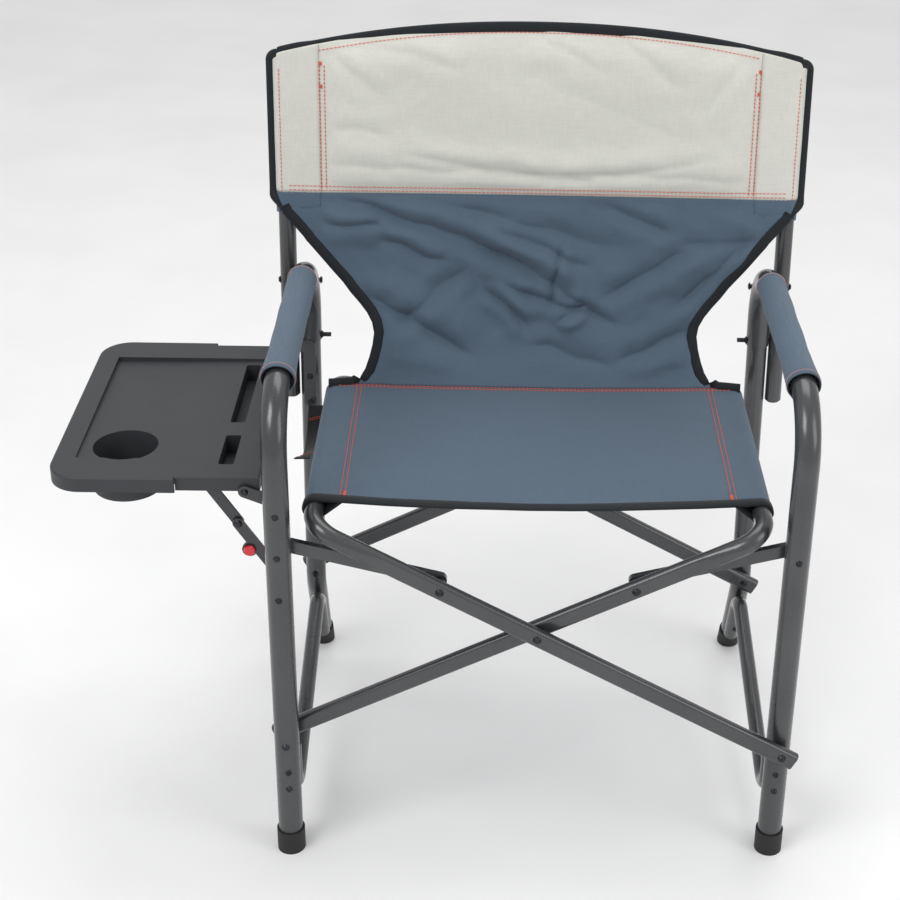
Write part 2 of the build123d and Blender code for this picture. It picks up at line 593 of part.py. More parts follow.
with BuildPart() as back_fabric:
    panel_out = Vector(0, -POST_AXIS.Z, POST_AXIS.Y)
    seam_base = Vector(0, rear_y(SEAM_Z), SEAM_Z)
    panel_plane = Plane(
        origin=seam_base + panel_out * (POST_R + SOFT_GAP), x_dir=(1, 0, 0), z_dir=panel_out
    )
    # The padded panel between the posts: an arched top and a tapering lower edge.
    side_top = (POST_TOP - SEAM_Z) / POST_AXIS.Z
    left_top, right_top = (-BACK_PANEL_X, side_top), (BACK_PANEL_X, side_top)
    left_low, right_low = (-BACK_PANEL_X, -14), (BACK_PANEL_X, -14)
    taper = 58
    with BuildSketch(panel_plane):
        with BuildLine():
            Polyline(
                left_top, left_low, (-PANEL_LOW_X, -taper), (PANEL_LOW_X, -taper), right_low, right_top
            )
            ThreePointArc(left_top, (0, side_top + ARCH_RISE), right_top)
        make_face()
    extrude(amount=PADDING_T)
    # A sleeve over each post.
    for side in (-1, 1):
        base = (side * POST_X, rear_y(SLEEVE_LOW), SLEEVE_LOW)
        length = (POST_TOP - SLEEVE_LOW) / POST_AXIS.Z
        rod(base, POST_AXIS, POST_R + SOFT_GAP + 1.7, length)
    for side in (-1, 1):
        base = (side * POST_X, rear_y(SLEEVE_LOW - 12), SLEEVE_LOW - 12)
        rod(base, POST_AXIS, POST_R + SOFT_GAP, length + 22, Mode.SUBTRACT)
    # The lower cloth, falling forward to the seat's back edge.
    joint = seam_base + panel_out * (POST_R + SOFT_GAP + PADDING_T) - POST_AXIS * (taper - 2)
    foot = Vector(0, SEAT_BACK, RAIL_Z + RAIL_R + 4)
    fall = (joint - foot).normalized()
    drop = (joint - foot).length
    lower_plane = Plane(origin=foot, x_dir=(1, 0, 0), z_dir=Vector(0, -fall.Z, fall.Y))
    edge = [(half, share * drop) for half, share in LOWER_OUTLINE] + [(PANEL_LOW_X, drop)]
    with BuildSketch(lower_plane):
        with BuildLine():
            Spline(*edge, tangents=((-0.5, 1), (0.5, 1)))
            Spline(*[(-half, rise) for half, rise in edge], tangents=((0.5, 1), (-0.5, 1)))
            Line((-edge[0][0], 0), (edge[0][0], 0))
            Line((-PANEL_LOW_X, drop), (PANEL_LOW_X, drop))
        make_face()
    extrude(amount=-DRAPE_T)
save(back_fabric, "back_fabric")

with BuildPart() as table_strap:
    with BuildSketch(Plane(origin=(STRAP_X, 0, 0), x_dir=(0, 1, 0), z_dir=(1, 0, 0))):
        with BuildLine():
            Spline(*STRAP_POINTS)
            Spline(*[(y, z + STRAP_T) for y, z in STRAP_POINTS])
            for y, z in (STRAP_POINTS[0], STRAP_POINTS[-1]):
                Line((y, z), (y, z + STRAP_T))
        make_face()
    extrude(amount=STRAP_W)
save(table_strap, "table_strap")
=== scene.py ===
import json
import math

import bpy
from mathutils import Matrix, Vector, noise


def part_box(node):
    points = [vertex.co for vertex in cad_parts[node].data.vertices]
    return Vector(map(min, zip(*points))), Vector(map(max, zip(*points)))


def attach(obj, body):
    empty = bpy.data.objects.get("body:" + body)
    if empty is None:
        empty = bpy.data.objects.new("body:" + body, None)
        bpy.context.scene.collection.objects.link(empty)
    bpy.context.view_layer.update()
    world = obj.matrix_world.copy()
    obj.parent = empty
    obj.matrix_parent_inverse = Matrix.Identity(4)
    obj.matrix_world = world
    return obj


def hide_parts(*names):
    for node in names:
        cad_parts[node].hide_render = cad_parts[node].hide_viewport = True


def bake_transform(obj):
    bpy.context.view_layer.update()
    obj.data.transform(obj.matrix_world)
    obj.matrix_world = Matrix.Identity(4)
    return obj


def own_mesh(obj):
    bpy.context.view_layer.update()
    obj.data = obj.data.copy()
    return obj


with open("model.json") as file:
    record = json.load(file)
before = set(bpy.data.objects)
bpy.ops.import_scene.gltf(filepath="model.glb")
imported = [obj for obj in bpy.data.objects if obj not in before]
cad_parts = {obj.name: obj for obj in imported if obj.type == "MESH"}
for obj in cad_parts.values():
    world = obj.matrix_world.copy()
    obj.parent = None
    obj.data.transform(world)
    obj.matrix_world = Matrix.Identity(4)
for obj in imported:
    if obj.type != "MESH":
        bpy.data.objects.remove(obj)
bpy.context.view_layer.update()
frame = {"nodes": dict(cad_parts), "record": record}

# Metres, with +X to the viewer's right, +Y away from the viewer and +Z up, as in the frame.
nodes = frame["nodes"]


# ------------------------------------------------------------------ helpers
def smooth(t):
    t = min(1.0, max(0.0, t))
    return t * t * (3 - 2 * t)


def mix(a, b, t):
    return a + (b - a) * t


def run(a, b, steps, place):
    """What place gives at even steps from a to b, both included."""
    return [place(mix(a, b, k / steps)) for k in range(steps + 1)]


def length_of(points):
    return sum((b - a).length for a, b in zip(points, points[1:]))


def piece(name, verts, faces, material, thickness=0.0, body=None):
    """A smooth mesh object, with a cloth thickness where one is given."""
    mesh = bpy.data.meshes.new(name)
    mesh.from_pydata([tuple(v) for v in verts], [], faces)
    mesh.materials.append(material)
    mesh.shade_smooth()
    obj = bpy.data.objects.new(name, mesh)
    bpy.context.scene.collection.objects.link(obj)
    if thickness:
        shell = obj.modifiers.new("cloth_thickness", "SOLIDIFY")
        shell.thickness, shell.offset = thickness, 0.0
    if body:
        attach(obj, body)
    return obj


def grid_faces(rows, columns, flip=False, close=False):
    """Quads of a grid of points kept row by row; close joins each row's end to its start."""
    faces = []
    for i in range(rows - 1):
        for j in range(columns if close else columns - 1):
            k = (j + 1) % columns
            near, far = i * columns, (i + 1) * columns
            face = (near + j, near + k, far + k, far + j)
            faces.append(face[::-1] if flip else face)
    return faces


def sheet_piece(name, rows, material, thickness, flip=False, body=None):
    verts = [p for row in rows for p in row]
    return piece(name, verts, grid_faces(len(rows), len(rows[0]), flip), material, thickness, body)


def welded_piece(name, rows, material, thickness):
    """A sheet whose rows may end in repeated points, which become one."""
    verts, ids = [], []
    for row in rows:
        for j, p in enumerate(row):
            if j and (p - row[j - 1]).length < 1e-6:
                ids.append(len(verts) - 1)
            else:
                ids.append(len(verts))
                verts.append(p)
    faces = []
    for face in grid_faces(len(rows), len(rows[0]), True):
        corners = list(dict.fromkeys(ids[k] for k in face))
        if len(corners) > 2:
            faces.append(corners)
    return piece(name, verts, faces, material, thickness)


def sweep(name, points, inward, outward, width, thick, material, body=None):
    """A rounded tape along points: inward gives its width, outward its thickness, at each point."""
    # Half of the tape's section, as shares of its width and of half its thickness.
    section = [(1.0, 0.35), (0.93, 0.8), (0.2, 1.0), (-0.2, 0.95), (-0.38, 0.45)]
    section += [(a, -b) for a, b in reversed(section)]
    verts = []
    for p, i, o in zip(points, inward, outward):
        verts += [p + i * (a * width) + o * (b * thick / 2) for a, b in section]
    count = len(section)
    last = (len(points) - 1) * count
    faces = grid_faces(len(points), count, close=True)
    faces.append(tuple(range(count)))
    faces.append(tuple(last + k for k in reversed(range(count))))
    return piece(name, verts, faces, material, body=body)


def spaced(points, step):
    """Points at even steps along a polyline."""
    out, carry = [points[0]], 0.0
    for a, b in zip(points, points[1:]):
        length = (b - a).length
        while length > 1e-9 and carry + length >= step:
            t = (step - carry) / length
            a = a.lerp(b, t)
            out.append(a)
            length, carry = (b - a).length, 0.0
        carry += length
    return out


# A stitch's rings: share of its length, height above the cloth and thickness, both in thread radii.
STITCH_RINGS = ((0, -0.4, 0.5), (0.25, 0.7, 1), (0.75, 0.7, 1), (1, -0.4, 0.5))
STITCH_SIDES, STITCH_SHARE = 6, 0.74


def stitches(name, lines, material, radius=0.00055, pitch=0.0052, body=None):
    """Rows of thread stitches that dip into the cloth at both ends. Each line is (points, normal)."""
    verts, faces = [], []
    ring = range(STITCH_SIDES)
    last = (len(STITCH_RINGS) - 1) * STITCH_SIDES
    for points, normal in lines:
        places = spaced(points, pitch)
        for a, b in zip(places, places[1:]):
            along = b - a
            if along.length < pitch * 0.5:
                continue
            side = along.cross(normal).normalized()
            base = len(verts)
            for t, lift, r in STITCH_RINGS:
                centre = a + along * (t * STITCH_SHARE) + normal * (lift * radius)
                for k in ring:
                    turn = math.tau * k / STITCH_SIDES
                    spoke = side * math.cos(turn) + normal * math.sin(turn)
                    verts.append(centre + spoke * (radius * r))
            sides = grid_faces(len(STITCH_RINGS), STITCH_SIDES, close=True)
            faces += [tuple(base + n for n in f) for f in sides]
            faces.append(tuple(base + k for k in ring))
            faces.append(tuple(base + last + k for k in reversed(ring)))
    return piece(name, verts, faces, material, body=body)


# ------------------------------------------------------------------ materials
class Shader:
    """A Principled material with object coordinates and a few node shortcuts."""

    def __init__(self, name, rough, metal=0.0, **sockets):
        self.material = bpy.data.materials.new(name)
        self.material.use_nodes = True
        self.tree = self.material.node_tree
        self.shader = self.tree.nodes["Principled BSDF"]
        self.shader.inputs["Metallic"].default_value = metal
        self.shader.inputs["Roughness"].default_value = rough
        for key, value in sockets.items():
            self.shader.inputs[key.replace("_", " ")].default_value = value
        self.coords = self.add("ShaderNodeTexCoord").outputs["Object"]

    def add(self, kind, **values):
        node = self.tree.nodes.new(kind)
        for key, value in values.items():
            if hasattr(node, key):
                setattr(node, key, value)
            else:
                node.inputs[key].default_value = value
        return node

    def link(self, a, b):
        self.tree.links.new(a, b)

    def noise(self, scale, detail=3.0, stretch=None):
        node = self.add("ShaderNodeTexNoise", Scale=scale, Detail=detail)
        source = self.coords
        if stretch:
            mapping = self.add("ShaderNodeMapping")
            mapping.inputs["Scale"].default_value = stretch
            self.link(source, mapping.inputs["Vector"])
            source = mapping.outputs["Vector"]
        self.link(source, node.inputs["Vector"])
        return node.outputs["Fac"]

    def wave(self, axis, scale):
        node = self.add("ShaderNodeTexWave", wave_type="BANDS", bands_direction=axis, Scale=scale)
        self.link(self.coords, node.inputs["Vector"])
        return node.outputs["Fac"]

    def math(self, operation, a, b):
        node = self.add("ShaderNodeMath", operation=operation)
        for socket, value in zip(node.inputs, (a, b)):
            if isinstance(value, (int, float)):
                socket.default_value = value
            else:
                self.link(value, socket)
        return node.outputs[0]

    def ramp(self, factor, low, high, start=0.35, end=0.65):
        node = self.add("ShaderNodeValToRGB")
        ends = node.color_ramp.elements
        ends[0].position, ends[1].position = start, end
        ends[0].color, ends[1].color = (*low, 1), (*high, 1)
        self.link(factor, node.inputs["Fac"])
        return node.outputs["Color"]

    def blend(self, factor, a, b):
        node = self.add("ShaderNodeMix", data_type="RGBA")
        self.link(factor, node.inputs[0])
        for index, value in ((6, a), (7, b)):
            if isinstance(value, tuple):
                node.inputs[index].default_value = (*value, 1)
            else:
                self.link(value, node.inputs[index])
        return node.outputs[2]

    def colour(self, source):
        self.link(source, self.shader.inputs["Base Color"])

    def rough(self, factor, low, high):
        node = self.add("ShaderNodeMapRange")
        node.inputs["To Min"].default_value = low
        node.inputs["To Max"].default_value = high
        self.link(factor, node.inputs["Value"])
        self.link(node.outputs[0], self.shader.inputs["Roughness"])

    def bump(self, height, strength, distance):
        node = self.add("ShaderNodeBump", Strength=strength, Distance=distance)
        self.link(height, node.inputs["Height"])
        if self.shader.inputs["Normal"].is_linked:
            self.link(self.shader.inputs["Normal"].links[0].from_socket, node.inputs["Normal"])
        self.link(node.outputs["Normal"], self.shader.inputs["Normal"])


def shade(colour, factor):
    return tuple(min(1.0, c * factor) for c in colour)


def painted(name, colour, rough=0.3):
    """Gunmetal paint with fine flake, faint streaks along the tube, and dulled patches."""
    s = Shader(name, rough, 0.55, Coat_Weight=0.35, Coat_Roughness=0.12)
    flake = s.noise(2600, 1)
    tone = s.math("ADD", s.math("MULTIPLY", flake, 0.6), s.math("MULTIPLY", s.noise(9, 5), 0.4))
    s.colour(s.ramp(tone, shade(colour, 0.78), shade(colour, 1.25)))
    s.rough(s.noise(34, 6), rough - 0.07, rough + 0.13)
    s.bump(flake, 0.12, 0.0002)
    s.bump(s.noise(120, 4, (1, 1, 0.25)), 0.05, 0.0006)
    return s.material


def plastic(name, colour, rough, grain, depth, coat=0.0):
    """Moulded plastic: a fine spark-eroded grain with scuffed, slightly paler patches."""
    s = Shader(name, rough, 0.0, Coat_Weight=coat, Specular_IOR_Level=0.45)
    speck = s.noise(grain, 2)
    scuff = s.noise(22, 7)
    grained = s.ramp(speck, shade(colour, 0.8), shade(colour, 1.15))
    s.colour(s.blend(scuff, grained, shade(colour, 1.22)))
    s.rough(scuff, rough - 0.08, rough + 0.12)
    s.bump(speck, depth, 0.0005)
    return s.material


def metal(name, colour, rough):
    """Blackened steel with mottled tone and gloss."""
    s = Shader(name, rough, 0.9)
    s.colour(s.ramp(s.noise(260, 4), shade(colour, 0.7), shade(colour, 1.3)))
    s.rough(s.noise(90, 5), rough - 0.08, rough + 0.15)
    s.bump(s.noise(900, 2), 0.1, 0.0002)
    return s.material


def woven(name, colour, axes, thread=0.0011, rough=0.78, crumple=0.35, sheen=0.12):
    """Plain-weave polyester: crossed threads, slubs along them, broad fading and small crumples."""
    s = Shader(name, rough, 0.0, Sheen_Weight=sheen, Sheen_Roughness=0.5, Specular_IOR_Level=0.3)
    scale = math.tau / (20 * thread)
    warp, weft = s.wave(axes[0], scale), s.wave(axes[1], scale)
    threads = s.math("MULTIPLY", warp, weft)
    along = {"X": (0.12, 1, 1), "Y": (1, 0.12, 1), "Z": (1, 1, 0.12)}
    slub = s.math("ADD", s.noise(420, 2, along[axes[0]]), s.noise(420, 2, along[axes[1]]))
    tone = s.ramp(s.math("MULTIPLY", slub, 0.5), shade(colour, 0.88), shade(colour, 1.1), 0.3, 0.7)
    dark = s.ramp(s.noise(6, 6), shade(colour, 0.86), shade(colour, 1.04), 0.3, 0.75)
    base = s.add("ShaderNodeMix", data_type="RGBA", blend_type="MIX")
    base.inputs[0].default_value = 0.5
    s.link(tone, base.inputs[6])
    s.link(dark, base.inputs[7])
    s.colour(s.blend(s.math("MULTIPLY", threads, 0.35), base.outputs[2], shade(colour, 1.22)))
    s.rough(s.noise(40, 4), rough - 0.08, rough + 0.1)
    s.bump(threads, 0.35, 0.0005)
    s.bump(s.noise(38, 5), crumple, 0.004)
    return s.material


SLATE, CREAM = (0.077, 0.115, 0.160), (0.60, 0.60, 0.55)
BLACK, ORANGE = (0.008, 0.011, 0.014), (0.72, 0.115, 0.05)
tube_paint = painted("gunmetal_paint", (0.064, 0.066, 0.070), 0.25)
plate_paint = painted("bracket_paint", (0.045, 0.047, 0.052), 0.36)
dark_steel = metal("blackened_steel", (0.035, 0.036, 0.04), 0.34)
cap_rubber = plastic("cap_rubber", (0.012, 0.012, 0.013), 0.62, 700, 0.2)
plug_plastic = plastic("plug_plastic", (0.018, 0.018, 0.02), 0.5, 1100, 0.15)
tray_plastic = plastic("tray_plastic", (0.025, 0.028, 0.032), 0.47, 1500, 0.4)
red_plastic = plastic("red_plastic", (0.62, 0.008, 0.02), 0.28, 900, 0.06, 0.4)
seat_weave = woven("seat_weave", SLATE, "XY", crumple=0.12)
back_weave = woven("back_weave", SLATE, "XZ", crumple=0.3)
arm_weave = woven("arm_weave", shade(SLATE, 1.02), "YZ", crumple=0.2)
cream_weave = woven("cream_weave", CREAM, "XZ", 0.0009, 0.72, 0.16, 0.05)
lining_weave = woven("lining_weave", (0.012, 0.014, 0.018), "XZ", 0.0011, 0.85, 0.1)
binding_tape = woven("binding_tape", BLACK, "XZ", 0.0008, 0.7, 0.15, 0.08)
webbing = woven("webbing", (0.012, 0.013, 0.015), "YX", 0.0016, 0.62, 0.05)
orange_thread = woven("orange_thread", ORANGE, "XZ", 0.0004, 0.6, 0.0)
pink_thread = woven("pink_thread", (0.78, 0.36, 0.3), "XZ", 0.0004, 0.6, 0.0)

# The finish of each material slot of the carried-over nodes.
by_slot = {
    "gunmetal_tube": tube_paint,
    "zinc_steel": dark_steel,
    "bracket_steel": plate_paint,
    "black_rubber": cap_rubber,
    "black_plastic": plug_plastic,
    "grained_plastic": tray_plastic,
    "red_plastic": red_plastic,
}
for entry in frame["record"]["subparts"]:
    chosen = by_slot.get(entry["material_slot"])
    if entry["node"] in ("left_link", "right_link"):
        chosen = tube_paint
    if chosen:
        mesh = nodes[entry["node"]].data
        mesh.materials.clear()
        mesh.materials.append(chosen)

# ------------------------------------------------------------------ measured from the frame
UP, BACKWARD = Vector((0, 0, 1)), Vector((0, 1, 0))
SIDES = (-1, 1)
SIDE = {-1: "left", 1: "right"}
BODY = {-1: "left_frame", 1: "right_frame"}

seat_low, seat_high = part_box("seat_fabric")
post_low, post_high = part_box("left_back_post")
plug_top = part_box("left_back_post_plugs")[1].z
panel_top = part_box("back_fabric")[1].z
POST_X, POST_R = -(post_low.x + post_high.x) / 2, (post_high.x - post_low.x) / 2

# The posts' lean, from the box of one leaning tube: each pass allows better for the round ends.
lean = 0.1
for _ in range(8):
    c, s = math.cos(lean), math.sin(lean)
    run_y, rise_z = post_high.y - post_low.y - 2 * POST_R * c, post_high.z - post_low.z - 2 * POST_R * s
    lean = math.atan2(run_y, rise_z)
LEAN_C, LEAN_S = math.cos(lean), math.sin(lean)
post_y0, post_z0 = post_low.y + POST_R * LEAN_C, post_low.z + POST_R * LEAN_S
FORWARD = Vector((0, -LEAN_C, LEAN_S))


def on_post(x, z, depth):
    """A point level z up the posts' plane, depth in front of it."""
    return Vector((x, post_y0 + (z - post_z0) * math.tan(lean), z)) + FORWARD * depth


# ------------------------------------------------------------------ seat
RAIL_R = 0.011
CLOTH_GAP = 0.0023                      # from a rail to the outside of the cloth's solid
SLEEVE_R = RAIL_R + 0.0013              # the cloth's middle round a rail
RAIL_X = seat_high.x - RAIL_R - CLOTH_GAP
RAIL_Z = seat_low.z + RAIL_R + CLOTH_GAP
SEAT_FRONT, SEAT_BACK = seat_low.y - 0.001, seat_high.y + 0.003
SLEEVE_SEAM = Vector((0.031, 0.0096))   # the sleeve's sewn edge, from the rail's axis inwards and up
SEAT_STITCH_X, SEAT_STITCH_GAP = 0.2275, 0.0055
SEAT_TACK_X = (0.226, 0.2345)
SEAT_CLOTH_T, TAPE_T = 0.0014, 0.0013


def seat_sag(x, y):
    """How far the stretched cloth hangs between the rails, most at its free front edge."""
    across = 1 - min(1.0, abs(x) / RAIL_X) ** 2
    t = (y - SEAT_FRONT) / (SEAT_BACK - SEAT_FRONT)
    ends = max(0.0, 1 - t / 0.22) ** 2
    broad = 0.0009 * noise.noise(Vector((x * 9, y * 14, 3.1)))
    fine = 0.0006 * noise.noise(Vector((x * 30, y * 11, 7.7)))
    return across * (0.0045 + 0.0055 * ends) + (broad + fine) * min(1, across * 3)


def seat_top(x, y, lift=0.0009):
    return Vector((x, y, RAIL_Z + SLEEVE_R - seat_sag(x, y) + lift))


def on_sleeve(angle):
    return Vector((math.cos(angle), math.sin(angle))) * SLEEVE_R


def seat_profile(y):
    """The cloth's section across the chair: sleeve, top, sleeve."""
    leave = math.atan2(SLEEVE_SEAM.y, SLEEVE_SEAM.x) - math.acos(SLEEVE_R / SLEEVE_SEAM.length)
    wrap = [SLEEVE_SEAM.lerp(on_sleeve(leave), k / 6) for k in range(6)]
    wrap += run(leave, -1.5 * math.pi, 22, on_sleeve)
    path = [Vector((-RAIL_X + p.x, y, RAIL_Z + p.y)) for p in wrap]
    path += run(-RAIL_X, RAIL_X, 96, lambda x: seat_top(x, y, 0.0))[1:-1]
    path += [Vector((RAIL_X - p.x, y, RAIL_Z + p.y)) for p in reversed(wrap)]
    return path


seat_rows = run(SEAT_FRONT, SEAT_BACK, 64, seat_profile)
seat_cloth = sheet_piece("seat_cloth", seat_rows, seat_weave, SEAT_CLOTH_T, flip=True)
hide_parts("seat_fabric")

edge = seat_profile(SEAT_FRONT)
ends = zip([edge[0]] + edge[:-1], edge[1:] + [edge[-1]])
outward = [BACKWARD.cross((after - before).normalized()).normalized() for before, after in ends]
seat_binding = sweep(
    "seat_front_binding", edge, [BACKWARD] * len(edge), outward, 0.0105, 0.0048, binding_tape
)

seat_lines = []
for side in SIDES:
    for offset in (0.0, SEAT_STITCH_GAP):
        x = side * (SEAT_STITCH_X + offset)
        seat_lines.append((run(SEAT_FRONT + 0.009, SEAT_BACK - 0.005, 40, lambda y: seat_top(x, y)), UP))
    for k in range(9):
        y = SEAT_FRONT + 0.010 + k * 0.0011
        seat_lines.append(([seat_top(side * x, y) for x in SEAT_TACK_X], UP))
for y in (SEAT_BACK - 0.004, SEAT_BACK - 0.009):
    seat_lines.append((run(-0.262, 0.262, 60, lambda x: seat_top(x, y, 0.0011)), UP))
seat_stitches = stitches("seat_stitches", seat_lines, orange_thread)
seat_pieces = [seat_cloth, seat_binding, seat_stitches]
for obj in seat_pieces:
    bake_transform(obj)

# ------------------------------------------------------------------ back
SIDE_X, STITCH_X = POST_X + POST_R + 0.0022, 0.281      # the panel's outer edge, the pad's edge
SEAM_Z, CORNER_Z = 0.712, max(post_high.z, plug_top) + 0.0015
TOP_Z = panel_top - 0.003
CORNER_R = 0.009
EDGE_OUT, TOP_OUT = 0.0045, 0.0030      # how far the binding stands out from the cloth's edge
FACE = POST_R + 0.0022                  # depth of the panel in front of the posts' plane
TOP_DEPTH = FACE - 0.0035               # depth at which the front and back layers meet along the top
CAP_ROWS, CAP_ROUND = 8, 0.0018         # the cloth over the end of a post
BOW = 0.004                             # how far the panel bows back between the posts
PAD_FRONT, PAD_REAR = 0.0085, 0.0055    # how far the filling stands out on each face
PAD_LAYER = 0.0012                      # depth between the pad's layers at its seams
SEAT_REAR_Z = 0.476                     # the lower cloth's lower edge


def arch(x):
    """Height of the back's top edge."""
    t = min(1.0, abs(x) / SIDE_X)
    return CORNER_Z + (TOP_Z - CORNER_Z) * (1 - t ** 2.15)


def bow(x):
    return BOW * (1 - (x / STITCH_X) ** 2)


# Creases of the cloth: two ends as (x, z), depth, width.
LOWER_FOLDS = [
    ((-0.245, 0.703), (-0.06, 0.640), 0.0075, 0.020),
    ((-0.06, 0.642), (0.06, 0.574), 0.0080, 0.017),
    ((-0.16, 0.708), (0.07, 0.652), 0.0050, 0.022),
    ((-0.05, 0.668), (0.055, 0.622), 0.0050, 0.013),
    ((-0.03, 0.592), (0.09, 0.553), 0.0065, 0.013),
    ((-0.06, 0.585), (-0.015, 0.548), 0.0055, 0.012),
    ((-0.215, 0.575), (-0.10, 0.515), 0.0080, 0.024),
    ((0.19, 0.640), (0.10, 0.585), 0.0060, 0.018),
    ((0.28, 0.655), (0.20, 0.650), 0.0050, 0.020),
    ((0.27, 0.650), (0.19, 0.575), 0.0060, 0.018),
    ((0.21, 0.545), (0.12, 0.505), 0.0065, 0.016),
    ((0.03, 0.640), (0.02, 0.575), 0.0045, 0.010),
    ((0.06, 0.570), (0.03, 0.555), 0.0050, 0.009),
    ((-0.20, 0.650), (-0.13, 0.628), 0.0055, 0.014),
    ((0.10, 0.690), (0.17, 0.668), 0.0045, 0.014),
    ((-0.10, 0.610), (-0.18, 0.545), 0.0045, 0.016),
    ((0.00, 0.520), (0.10, 0.500), 0.0040, 0.016),
    ((-0.27, 0.672), (-0.21, 0.668), 0.0045, 0.012),
]
UPPER_FOLDS = [
    ((-0.24, 0.748), (0.24, 0.738), 0.0035, 0.016),
    ((-0.16, 0.765), (0.05, 0.733), 0.0030, 0.013),
    ((0.02, 0.732), (0.20, 0.760), 0.0030, 0.014),
    ((-0.26, 0.890), (-0.21, 0.845), 0.0030, 0.014),
    ((-0.20, 0.900), (-0.11, 0.880), 0.0025, 0.014),
    ((0.10, 0.915), (0.17, 0.862), 0.0028, 0.015),
    ((0.00, 0.915), (0.07, 0.880), 0.0022, 0.013),
    ((0.25, 0.885), (0.21, 0.83), 0.0028, 0.014),
    ((-0.02, 0.87), (0.16, 0.80), 0.0016, 0.030),
    ((-0.26, 0.80), (-0.20, 0.79), 0.0022, 0.014),
]


def folds(x, z, creases):
    """Sharp-bottomed valleys with a rounded ridge on each side."""
    total = 0.0
    for (x0, z0), (x1, z1), depth, width in creases:
        dx, dz = x1 - x0, z1 - z0
        length = math.hypot(dx, dz)
        t = ((x - x0) * dx + (z - z0) * dz) / length ** 2
        off = ((x - x0) * dz - (z - z0) * dx) / length
        off += 0.006 * noise.noise(Vector((x * 25, z * 25, x0 * 9)))
        fade = smooth((t + 0.25) / 0.4) * smooth((1.25 - t) / 0.4)
        if fade <= 0 or abs(off) > 4 * width:
            continue
        valley = -math.exp(-abs(off) / (0.42 * width))
        near = 0.85 * math.exp(-(((off + width) / width) ** 2))
        far = 0.55 * math.exp(-(((off - 1.2 * width) / width) ** 2))
        total += depth * fade * (valley + (near + far))
    return total


def crumple(x, z, size, seed):
    """Faceted crumples: a ridged noise in two sizes."""
    a = 1 - 2 * abs(noise.noise(Vector((x * 13, z * 17, seed))))
    b = 1 - 2 * abs(noise.noise(Vector((x * 29 + 5, z * 33, seed + 4))))
    return size * (a + 0.35 * b)


def pad(x, z):
    """How far the filling stands out, from 0 along every seam to 1."""
    sides = smooth((STITCH_X - 0.002 - abs(x)) / 0.045)
    low, top = smooth((z - SEAM_Z) / 0.035), smooth((arch(x) - z) / 0.04)
    return sides ** 0.6 * low ** 0.6 * top ** 0.6


def cream_front(x, z):
    full = pad(x, z)
    bands = folds(x, z, UPPER_FOLDS) * min(1, full * 1.6)
    return FACE - bow(x) + PAD_FRONT * full + bands + crumple(x, z, 0.0007, 2.2) * full


def cream_rear(x, z):
    return FACE - PAD_LAYER - bow(x) - PAD_REAR * pad(x, z)


def pad_layer(depth):
    """One face of the pad, as rows of points from the seam up to the top edge."""
    def point(x, t):
        z = mix(SEAM_Z, arch(x), t)
        return on_post(x, z, depth(x, z))

    return run(0.0, 1.0, 64, lambda t: run(-STITCH_X, STITCH_X, 150, lambda x: point(x, t)))


def closed_faces(rows, columns):
    """Faces of two like grids, front then rear, and of the strip round their edges."""
    count = rows * columns
    faces = grid_faces(rows, columns)
    faces += [tuple(count + k for k in reversed(f)) for f in faces]
    border = [(0, j) for j in range(columns)] + [(i, columns - 1) for i in range(1, rows)]
    border += [(rows - 1, j) for j in range(columns - 2, -1, -1)]
    border += [(i, 0) for i in range(rows - 2, 0, -1)]
    ring = [i * columns + j for i, j in border]
    faces += [(b, a, a + count, b + count) for a, b in zip(ring, ring[1:] + ring[:1])]
    return faces


front, rear = pad_layer(cream_front), pad_layer(cream_rear)
pad_points = [p for row in front + rear for p in row]
cream_pad = piece("back_cream_pad", pad_points, closed_faces(len(front), len(front[0])), cream_weave)


def post_section(side):
    """The sleeve's section round a post, from the panel's front to its back, as (x, depth)."""
    r, inner = POST_R + 0.0018, STITCH_X - 0.001
    points = [(mix(inner, POST_X, k / 8), mix(FACE, r, k / 8)) for k in range(8)]
    points += run(0.0, math.pi, 26, lambda a: (POST_X + r * math.sin(a), r * math.cos(a)))
    for k in range(1, 9):
        points.append((mix(POST_X, inner, k / 8), mix(-r, FACE - 0.0022, (k / 8) ** 1.6)))
    return [(side * x, depth) for x, depth in points]


def sleeve(name, side, z0, z_top, material, rows, slant=0.0, closed=True):
    """The cloth round a post; a closed one turns over the post's end and meets the front layer."""
    section = post_section(side)
    cap = CAP_ROUND if closed else 0
    levels = [(i / rows, 0.0) for i in range(rows + 1)]
    if closed:
        levels += [(1.0, k / CAP_ROWS) for k in range(1, CAP_ROWS + 1)]
    grid = []
    for share, turn in levels:
        row = []
        closing = turn ** 2 if turn < 1 else 0.97
        for x, depth in section:
            low = z0 - slant * (1 - smooth((SIDE_X - abs(x)) / (SIDE_X - STITCH_X)))
            z = mix(low, z_top(x) - cap, share) + CAP_ROUND * math.sin(math.pi / 2 * turn)
            wobble = 0.0008 * noise.noise(Vector((x * 30, z * 40, depth * 60)))
            row.append(on_post(x, z, mix(depth + wobble, TOP_DEPTH, closing)))
        grid.append(row)
    return sheet_piece(name, grid, material, TAPE_T, flip=side > 0, body=BODY[side])


def slate_top(x):
    return SEAM_Z + 0.0006


sleeves, squashed = [], [cream_pad]
for side in SIDES:
    tag = SIDE[side]
    sleeves.append(sleeve(f"back_cream_sleeve_{tag}", side, SEAM_Z, arch, cream_weave, 40))
    sleeves.append(sleeve(f"back_slate_sleeve_{tag}", side, 0.688, slate_top, back_weave, 8, 0.004, False))

